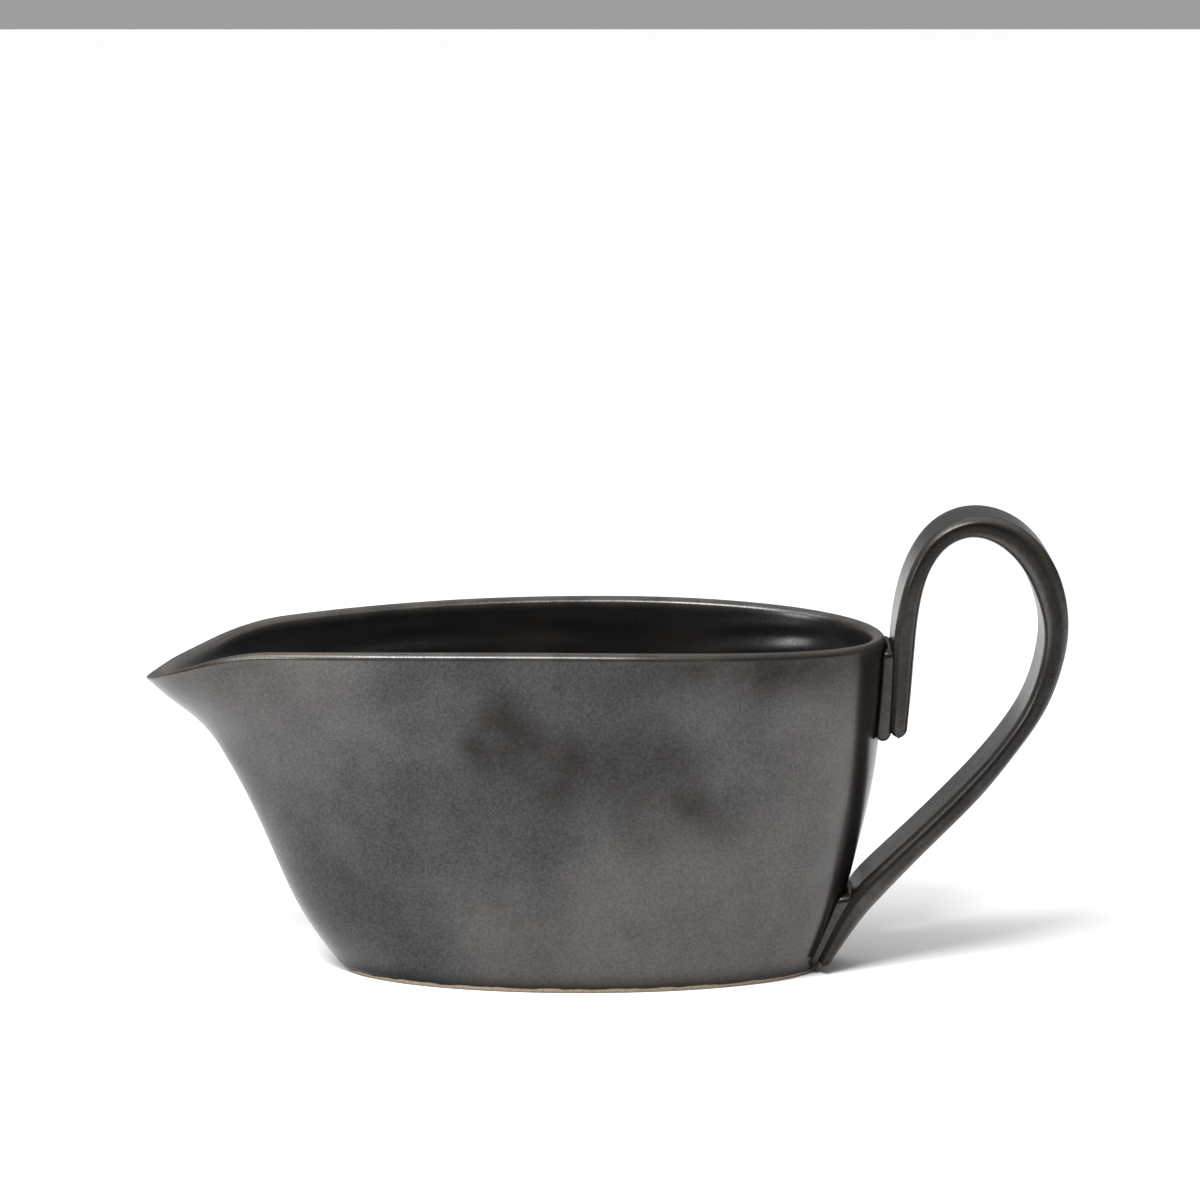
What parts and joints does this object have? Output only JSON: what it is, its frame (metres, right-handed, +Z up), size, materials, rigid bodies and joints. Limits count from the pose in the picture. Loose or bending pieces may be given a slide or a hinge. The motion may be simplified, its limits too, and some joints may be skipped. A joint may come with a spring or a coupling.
{
  "type": "sauce boat",
  "caption": "Stoneware sauce boat: oval foot, flaring body drawn out into a pouring spout, and a flat strap handle that loops from rim to foot, in a near-black satin glaze.",
  "frame": {"origin": "the middle of the foot, on the plane that the boat stands on", "axes": "+X to the handle, -X to the spout's tip, +Z up; the rest pose is the boat standing on a table"},
  "size_m": [0.2199, 0.0798, 0.1115],
  "materials": {
    "glaze": "satin"
  },
  "bodies": {
    "root": {"bowl": "glaze", "strap_handle": "glaze", "upper_lute": "glaze", "lower_lute": "glaze"}
  },
  "joints": []
}
